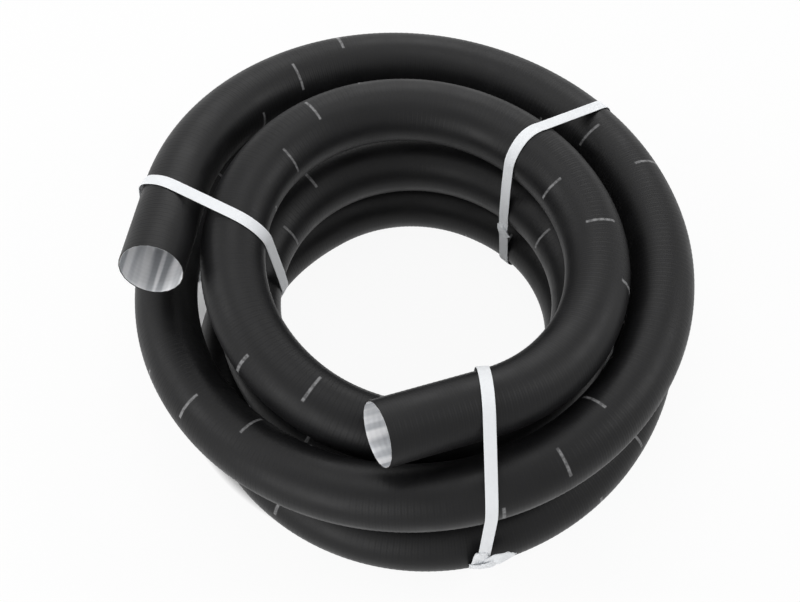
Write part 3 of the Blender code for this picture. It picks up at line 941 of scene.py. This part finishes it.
class DUCT_OT_straps(DuctOperator, bpy.types.Operator):
    """Build the three flat straps round the coil"""

    bl_idname = "duct.straps"
    bl_label = "Straps"

    def build(self, sizes, looks):
        """The tape's section carried round the taut outline, each of its points at its own offset."""
        material = tape_material(looks, sizes)
        across, out = tape_section(sizes.tape_width, sizes.tape_thickness)
        for plan in STRAP_PLANS:
            lines = strap_lines(plan, sizes.tape_width, STRAP_GAP)
            corners = outline_corners(lines, out)
            aside = np.broadcast_to(across, corners.shape[:2])
            rows = strap_point(plan, corners[..., 0], corners[..., 1], aside)
            quads = grid_quads(len(rows), len(across), close_rows=True, close_columns=True)[:, ::-1]
            step = np.linalg.norm(np.roll(rows, -1, axis=0) - rows, axis=-1).mean(axis=1)
            run = np.concatenate([[0.0], np.cumsum(step)])
            uv = grid_uv(run[:-1, None], run[1:, None], across, np.roll(across, -1))[:, ::-1]
            strap = mesh_object("strap_" + plan["name"] + "_tape", rows, quads, uv, TAPE_SHARP_ANGLE)
            wear(strap, material)
            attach(strap, "root")
            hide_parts("strap_" + plan["name"])


class DUCT_OT_knots(DuctOperator, bpy.types.Operator):
    """Build the tied ends of the three straps"""

    bl_idname = "duct.knots"
    bl_label = "Knots"

    def build(self, sizes, looks):
        """Each knot is two or three short runs of tape, laid one over the other and puckered."""
        material = tape_material(looks, sizes)
        for plan in STRAP_PLANS:
            lines = strap_lines(plan, sizes.tape_width, STRAP_GAP)
            knot = knot_frame(plan, lines, sizes.tape_thickness)
            points, quads, count = [], [], 0
            for seed, (path, crumple) in enumerate(KNOT_RUNS[plan["name"]]):
                grid = on_hose(knot, tape_run(path, sizes.tape_width, crumple, seed), plan["bend"])
                section, faces = ribbon(grid, sizes.tape_thickness)
                points.append(section.reshape(-1, 3))
                quads.append(faces + count)
                count += len(points[-1])
            points, quads = np.concatenate(points), np.concatenate(quads)
            uv = (points @ np.stack([knot[1], knot[2]], axis=-1))[quads]
            tied = mesh_object("knot_" + plan["name"], points, quads, uv, TAPE_SHARP_ANGLE)
            wear(tied, material)
            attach(tied, "root")
            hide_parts("strap_" + plan["name"] + "_knot")


class DUCT_OT_stage(DuctOperator, bpy.types.Operator):
    """Build the floor, the lights, the surroundings and the camera"""

    bl_idname = "duct.stage"
    bl_label = "Stage"

    def build(self, sizes, looks):
        """Everything round the object, with plain colour management."""
        scene = bpy.context.scene
        self.floor()
        self.lights(scene)
        self.camera(scene)
        scene.view_settings.view_transform = "Standard"

    def floor(self):
        """A level square under the coil, its height a small gap below the lowest strap."""
        side = np.linspace(-FLOOR_HALF, FLOOR_HALF, FLOOR_LINES)
        x, y = np.meshgrid(side, side, indexing="ij")
        points = np.stack([x, y, np.full_like(x, CAD_BOX[0][2] - FLOOR_GAP)], axis=-1)
        floor = mesh_object("floor", points, grid_quads(FLOOR_LINES, FLOOR_LINES)[:, ::-1])
        wear(floor, floor_material())

    def lights(self, scene):
        """The softboxes, and white surroundings that are seen brighter than they light."""
        for box in SOFTBOXES:
            softbox(*box)
        world = bpy.data.worlds.new("studio")
        world.use_nodes = True
        scene.world = world
        tree = world.node_tree
        strength = map_range(tree, seen_directly(tree), 0.0, 1.0, WORLD_LIGHT, WORLD_SEEN)
        back = tree.nodes["Background"]
        back.inputs["Color"].default_value = (1.0, 1.0, 1.0, 1.0)
        tree.links.new(strength, back.inputs["Strength"])

    def camera(self, scene):
        """The camera looks down at the coil, turned until the aim point lands on its pixel."""
        tilt = math.radians(CAMERA_TILT)
        eye = COIL_SHIFT + np.array([
            0.0, -CAMERA_DISTANCE * math.cos(tilt), AIM_HEIGHT + CAMERA_DISTANCE * math.sin(tilt)
        ])
        forward = np.array([0.0, math.cos(tilt), -math.sin(tilt)])
        right = np.array([1.0, 0.0, 0.0])
        up = np.cross(right, forward)
        pan = -math.atan((AIM_PIXEL[0] - PICTURE_WIDTH / 2.0) / LENS_PIXELS)
        nod = math.atan((AIM_PIXEL[1] - PICTURE_HEIGHT / 2.0) / LENS_PIXELS)
        forward, right = (
            forward * math.cos(pan) + right * math.sin(pan),
            right * math.cos(pan) - forward * math.sin(pan),
        )
        forward, up = (
            forward * math.cos(nod) + up * math.sin(nod),
            up * math.cos(nod) - forward * math.sin(nod),
        )
        data = bpy.data.cameras.new("camera")
        data.sensor_width = SENSOR_WIDTH
        data.lens = LENS_PIXELS * SENSOR_WIDTH / PICTURE_WIDTH
        camera = bpy.data.objects.new("camera", data)
        rotation = Matrix(np.stack([right, up, -forward], axis=-1).tolist()).to_4x4()
        camera.matrix_world = Matrix.Translation(Vector(eye.tolist())) @ rotation
        scene.collection.objects.link(camera)
        scene.camera = camera


class DUCT_PT_pieces(bpy.types.Panel):
    """Lists the pieces of the air duct and their sizes and colours"""

    bl_idname = "DUCT_PT_pieces"
    bl_label = "Air Duct"
    bl_space_type = "VIEW_3D"
    bl_region_type = "UI"
    bl_category = "Air Duct"

    def draw(self, context):
        layout = self.layout
        for operator in OPERATORS:
            layout.operator(operator.bl_idname)
        for group in (context.scene.duct_sizes, context.scene.duct_looks):
            box = layout.box()
            for key in group.__annotations__:
                box.prop(group, key)


OPERATORS = (DUCT_OT_jacket, DUCT_OT_plies, DUCT_OT_straps, DUCT_OT_knots, DUCT_OT_stage)
CLASSES = (DuctSizes, DuctLooks, *OPERATORS, DUCT_PT_pieces)


def register():
    for cls in CLASSES:
        bpy.utils.register_class(cls)
    bpy.types.Scene.duct_sizes = bpy.props.PointerProperty(type=DuctSizes)
    bpy.types.Scene.duct_looks = bpy.props.PointerProperty(type=DuctLooks)


def unregister():
    del bpy.types.Scene.duct_looks
    del bpy.types.Scene.duct_sizes
    for cls in reversed(CLASSES):
        bpy.utils.unregister_class(cls)


def main():
    register()
    bpy.ops.duct.jacket()
    bpy.ops.duct.plies()
    bpy.ops.duct.straps()
    bpy.ops.duct.knots()
    bpy.ops.duct.stage()


if __name__ == "__main__":
    main()
